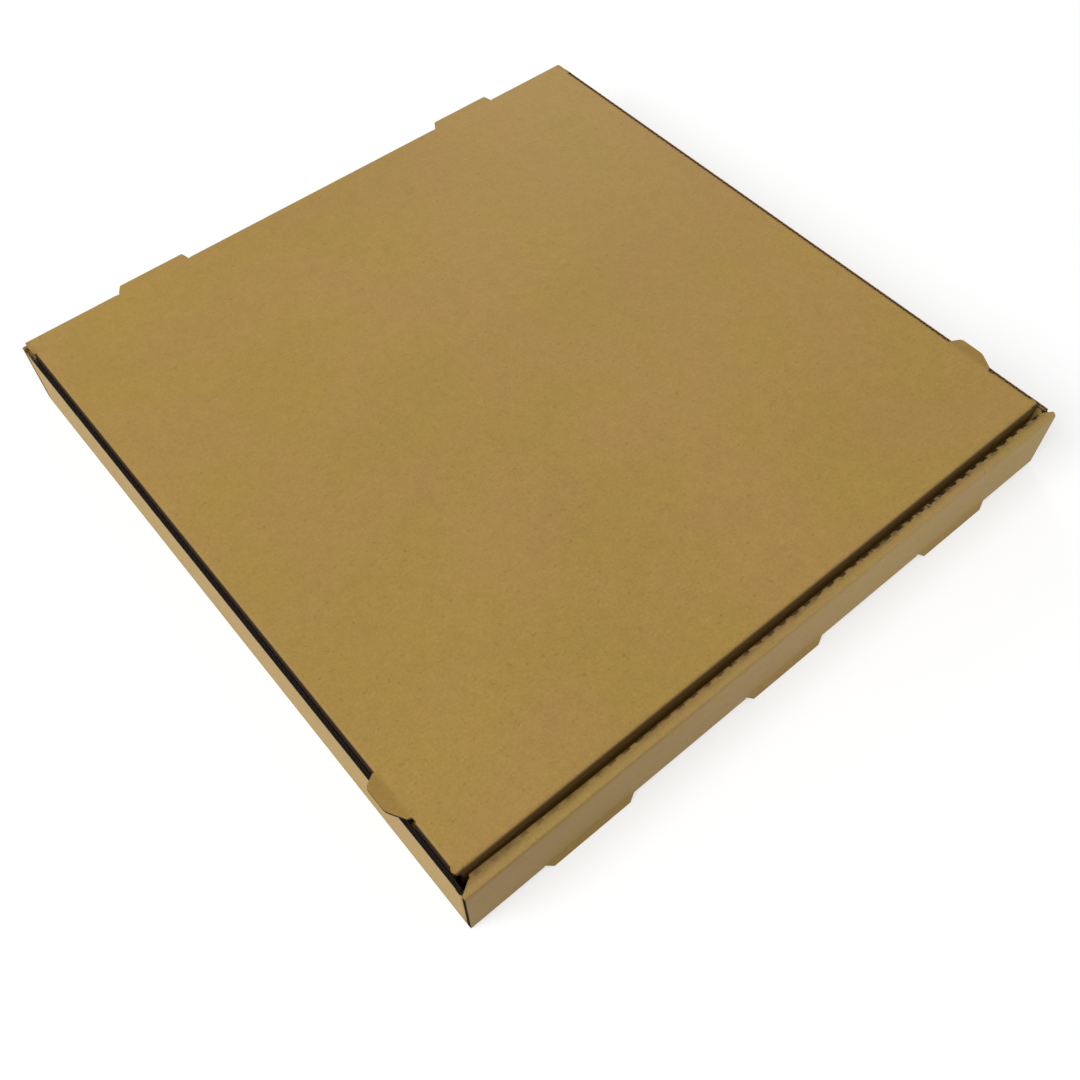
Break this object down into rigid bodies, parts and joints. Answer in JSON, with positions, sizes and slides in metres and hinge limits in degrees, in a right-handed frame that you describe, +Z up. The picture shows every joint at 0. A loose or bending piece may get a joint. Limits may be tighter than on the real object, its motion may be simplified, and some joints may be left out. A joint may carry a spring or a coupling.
{
  "type": "pizza box",
  "caption": "Low square corrugated board box for a baked pizza, with a rolled double front wall and a lid that opens on the crease along the back wall",
  "frame": {"origin": "bottom centre of the closed box, tabs included", "axes": "+Z up out of the floor, +Y from the front wall to the hinge crease, +X along the front wall to the right"},
  "size_m": [0.3154, 0.321, 0.035],
  "materials": {
    "kraft_board": "matte kraft liner with fine fibre speckle"
  },
  "bodies": {
    "tray": {"tray": "kraft_board"},
    "lid": {"lid": "kraft_board"}
  },
  "joints": [
    {"name": "lid_hinge", "type": "hinge", "parent": "tray", "child": "lid", "pos_m": [0, 0.15575, 0.0342], "axis": [-1, 0, 0], "range_deg": [0, 180]}
  ]
}
